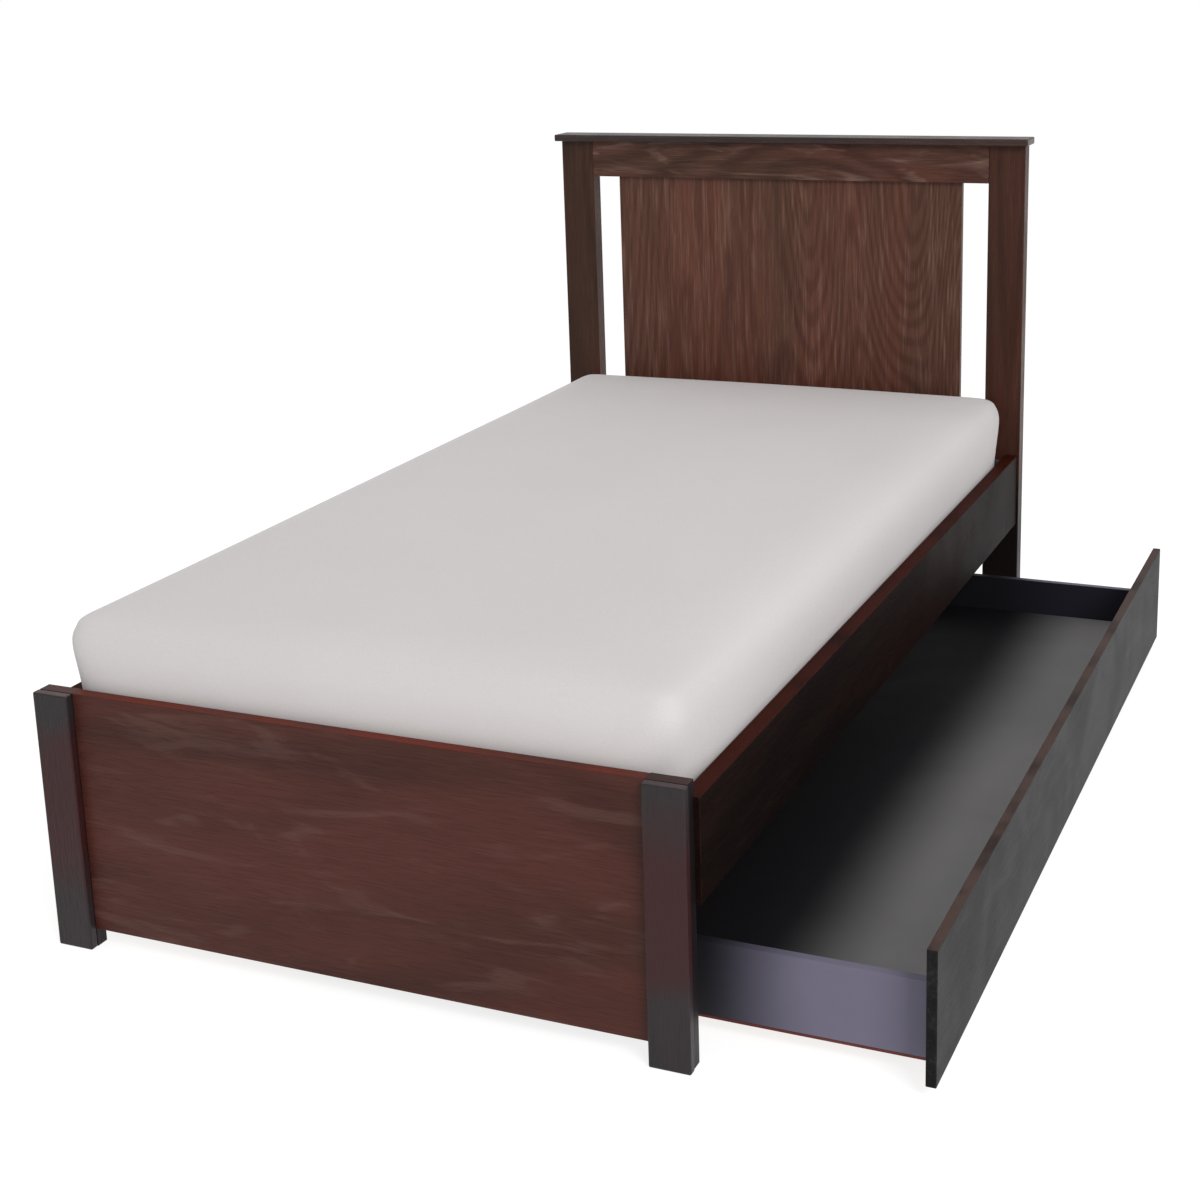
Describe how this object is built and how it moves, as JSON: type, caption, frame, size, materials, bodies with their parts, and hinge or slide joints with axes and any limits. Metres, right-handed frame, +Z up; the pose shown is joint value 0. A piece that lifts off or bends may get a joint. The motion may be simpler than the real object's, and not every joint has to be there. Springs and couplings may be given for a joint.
{
  "type": "trundle bed",
  "caption": "Slatted single bed frame with a plain mattress, a tall slotted headboard, a low footboard and a wheeled drawer that rolls out from under one side.",
  "frame": {"origin": "on the floor, at the middle of the whole outline with the drawer part way out, as at rest", "axes": "+X across the bed, the way the drawer opens; +Y from the footboard to the headboard; +Z up"},
  "size_m": [1.403, 1.986, 1.08],
  "materials": {
    "headboard_frame": "dark chocolate stain, satin lacquer, open horizontal and vertical grain",
    "headboard_panel": "dark chocolate stain, satin lacquer, upright grain",
    "footboard_panel": "red brown stain, satin lacquer, level grain",
    "foot_post": "dark brown stain with a grey sheen, upright grain",
    "side_rail": "near black brown stain, satin lacquer",
    "slat_wood": "planed pine, unfinished",
    "dowel_wood": "fluted beech dowel",
    "screw_steel": "zinc plated",
    "angle_steel": "zinc plated folded sheet",
    "mattress_cover": "close woven light warm grey cover",
    "drawer_front": "dark grey brown stain with a satin sheen, level grain",
    "drawer_floor": "dark grey faced board, matt",
    "drawer_wall": "lilac grey faced board, satin",
    "drawer_lipping": "red brown hardwood strip",
    "bearer_wood": "sawn pine",
    "fork_steel": "zinc plated pressed sheet",
    "axle_steel": "bright drawn steel",
    "wheel_nylon": "moulded black nylon"
  },
  "bodies": {
    "bed_frame": {"bed_dowels": "dowel_wood", "corner_angle_foot_left": "angle_steel", "corner_angle_foot_right": "angle_steel", "corner_angle_head_left": "angle_steel", "corner_angle_head_right": "angle_steel", "corner_angle_screws": "screw_steel", "foot_post_block_left": "foot_post", "foot_post_block_right": "foot_post", "foot_post_face_left": "foot_post", "foot_post_face_right": "foot_post", "footboard_panel": "footboard_panel", "headboard_cap": "headboard_frame", "headboard_low_rail": "headboard_frame", "headboard_panel": "headboard_panel", "headboard_stile_left": "headboard_frame", "headboard_stile_right": "headboard_frame", "headboard_top_rail": "headboard_frame", "mattress": "mattress_cover", "side_rail_left": "side_rail", "side_rail_right": "side_rail", "slat_01": "slat_wood", "slat_02": "slat_wood", "slat_03": "slat_wood", "slat_04": "slat_wood", "slat_05": "slat_wood", "slat_06": "slat_wood", "slat_07": "slat_wood", "slat_08": "slat_wood", "slat_09": "slat_wood", "slat_10": "slat_wood", "slat_11": "slat_wood", "slat_12": "slat_wood", "slat_13": "slat_wood", "slat_and_ledger_screws": "screw_steel", "slat_ledger_left": "slat_wood", "slat_ledger_right": "slat_wood"},
    "drawer": {"drawer_back": "drawer_wall", "drawer_back_cleat": "bearer_wood", "drawer_dowels": "dowel_wood", "drawer_floor": "drawer_floor", "drawer_foot_bearer": "bearer_wood", "drawer_foot_wall": "drawer_wall", "drawer_foot_wall_lipping": "drawer_lipping", "drawer_front": "drawer_front", "drawer_front_cleat": "bearer_wood", "drawer_head_bearer": "bearer_wood", "drawer_head_wall": "drawer_wall", "drawer_head_wall_lipping": "drawer_lipping", "drawer_middle_bearer": "bearer_wood", "fork_foot_back": "fork_steel", "fork_foot_front": "fork_steel", "fork_head_back": "fork_steel", "fork_head_front": "fork_steel", "wheel_axles": "axle_steel", "caster_screws": "screw_steel"},
    "wheel_foot_back_body": {"wheel_foot_back": "wheel_nylon"},
    "wheel_foot_front_body": {"wheel_foot_front": "wheel_nylon"},
    "wheel_head_back_body": {"wheel_head_back": "wheel_nylon"},
    "wheel_head_front_body": {"wheel_head_front": "wheel_nylon"}
  },
  "joints": [
    {"name": "drawer_slide", "type": "slide", "parent": "bed_frame", "child": "drawer", "axis": [1, 0, 0], "range_m": [-0.318, 0.636]},
    {"name": "wheel_foot_back_spin", "type": "hinge", "parent": "drawer", "child": "wheel_foot_back_body", "pos_m": [-0.1865, -0.829, 0.02], "axis": [0, 1, 0], "continuous": true},
    {"name": "wheel_foot_front_spin", "type": "hinge", "parent": "drawer", "child": "wheel_foot_front_body", "pos_m": [0.6215, -0.829, 0.02], "axis": [0, 1, 0], "continuous": true},
    {"name": "wheel_head_back_spin", "type": "hinge", "parent": "drawer", "child": "wheel_head_back_body", "pos_m": [-0.1865, 0.801, 0.02], "axis": [0, 1, 0], "continuous": true},
    {"name": "wheel_head_front_spin", "type": "hinge", "parent": "drawer", "child": "wheel_head_front_body", "pos_m": [0.6215, 0.801, 0.02], "axis": [0, 1, 0], "continuous": true}
  ],
  "couplings": [
    {"joint": "wheel_foot_back_spin", "follows": "drawer_slide", "rad_per_m": 50},
    {"joint": "wheel_foot_front_spin", "follows": "drawer_slide", "rad_per_m": 50},
    {"joint": "wheel_head_back_spin", "follows": "drawer_slide", "rad_per_m": 50},
    {"joint": "wheel_head_front_spin", "follows": "drawer_slide", "rad_per_m": 50}
  ]
}
